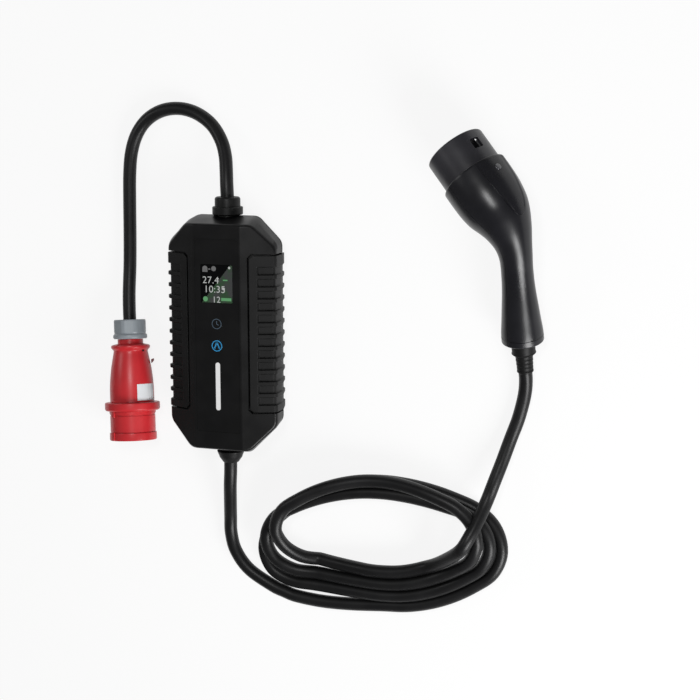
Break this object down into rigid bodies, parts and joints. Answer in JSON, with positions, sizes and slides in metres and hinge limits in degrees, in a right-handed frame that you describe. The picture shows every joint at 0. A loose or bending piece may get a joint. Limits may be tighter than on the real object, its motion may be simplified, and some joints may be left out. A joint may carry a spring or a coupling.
{
  "type": "portable electric vehicle charger",
  "caption": "Slim control box with display and ribbed side grips, on a short cord to a red three-phase plug and a coiled long cord to a curved vehicle connector.",
  "frame": {"origin": "centre of the control box's flat back, on the surface that everything lies on", "axes": "+Z out of the box's front panel, +Y along the box towards the input cord and the display end, +X to the right seen from the front"},
  "size_m": [0.436, 0.4887, 0.0701],
  "materials": {
    "black_shell": "satin moulded black, bright edges where worn",
    "black_rubber": "matt soft-touch black",
    "panel_film": "smooth black film",
    "grey_seal": "matt dark grey",
    "display_glass": "glossy dark window",
    "display_module": "dark screen",
    "key_blue": "lit blue symbol on black",
    "light_white": "white light bar",
    "screw_steel": "zinc plated",
    "board_green": "coated circuit board",
    "relay_black": "moulded case",
    "winding_copper": "enamelled winding",
    "ferrite_grey": "dull core",
    "terminal_grey": "moulded block",
    "plug_red": "glossy signal red",
    "plug_dark_red": "darker red",
    "nut_grey": "satin light grey",
    "contact_nickel": "nickel plated",
    "gun_gloss_black": "semi-gloss black with grained panels",
    "gun_collar_grey": "satin dark grey",
    "status_lens": "smoked lens",
    "cord_black": "satin black jacket"
  },
  "bodies": {
    "root": {"current_key_light": "key_blue", "display_board": "board_green", "display_module": "display_module", "display_window": "display_glass", "front_housing": "black_shell", "grip_left": "black_rubber", "grip_right": "black_rubber", "gun_collar": "gun_collar_grey", "gun_contact_carrier": "gun_gloss_black", "gun_contact_cp": "contact_nickel", "gun_contact_l1": "contact_nickel", "gun_contact_l2": "contact_nickel", "gun_contact_l3": "contact_nickel", "gun_contact_n": "contact_nickel", "gun_contact_pe": "contact_nickel", "gun_contact_pp": "contact_nickel", "gun_emblem_plate": "gun_gloss_black", "gun_lower_shell": "gun_gloss_black", "gun_status_lens": "status_lens", "gun_strain_relief": "black_rubber", "gun_upper_shell": "gun_gloss_black", "housing_gasket_left": "grey_seal", "housing_gasket_right": "grey_seal", "housing_screw_1": "screw_steel", "housing_screw_2": "screw_steel", "housing_screw_3": "screw_steel", "housing_screw_4": "screw_steel", "housing_screw_5": "screw_steel", "housing_screw_6": "screw_steel", "input_cord": "cord_black", "input_gland": "black_shell", "input_lock_nut": "nut_grey", "input_terminals": "terminal_grey", "main_board": "board_green", "output_cord_coil": "cord_black", "output_cord_lead": "cord_black", "output_cord_riser": "cord_black", "output_gland": "black_shell", "output_lock_nut": "nut_grey", "output_terminals": "terminal_grey", "panel_overlay": "panel_film", "plug_cord_seal": "black_rubber", "plug_gland_nut": "nut_grey", "plug_housing": "plug_red", "plug_pin_carrier": "plug_dark_red", "plug_pin_earth": "contact_nickel", "plug_pin_l1": "contact_nickel", "plug_pin_l2": "contact_nickel", "plug_pin_l3": "contact_nickel", "plug_pin_n": "contact_nickel", "plug_release_latch": "plug_dark_red", "plug_sleeve": "plug_red", "power_supply": "winding_copper", "rear_housing": "black_shell", "relay_1": "relay_black", "relay_2": "relay_black", "residual_current_sensor": "ferrite_grey", "status_light_bar": "light_white", "timer_key_light": "key_blue"}
  },
  "joints": []
}
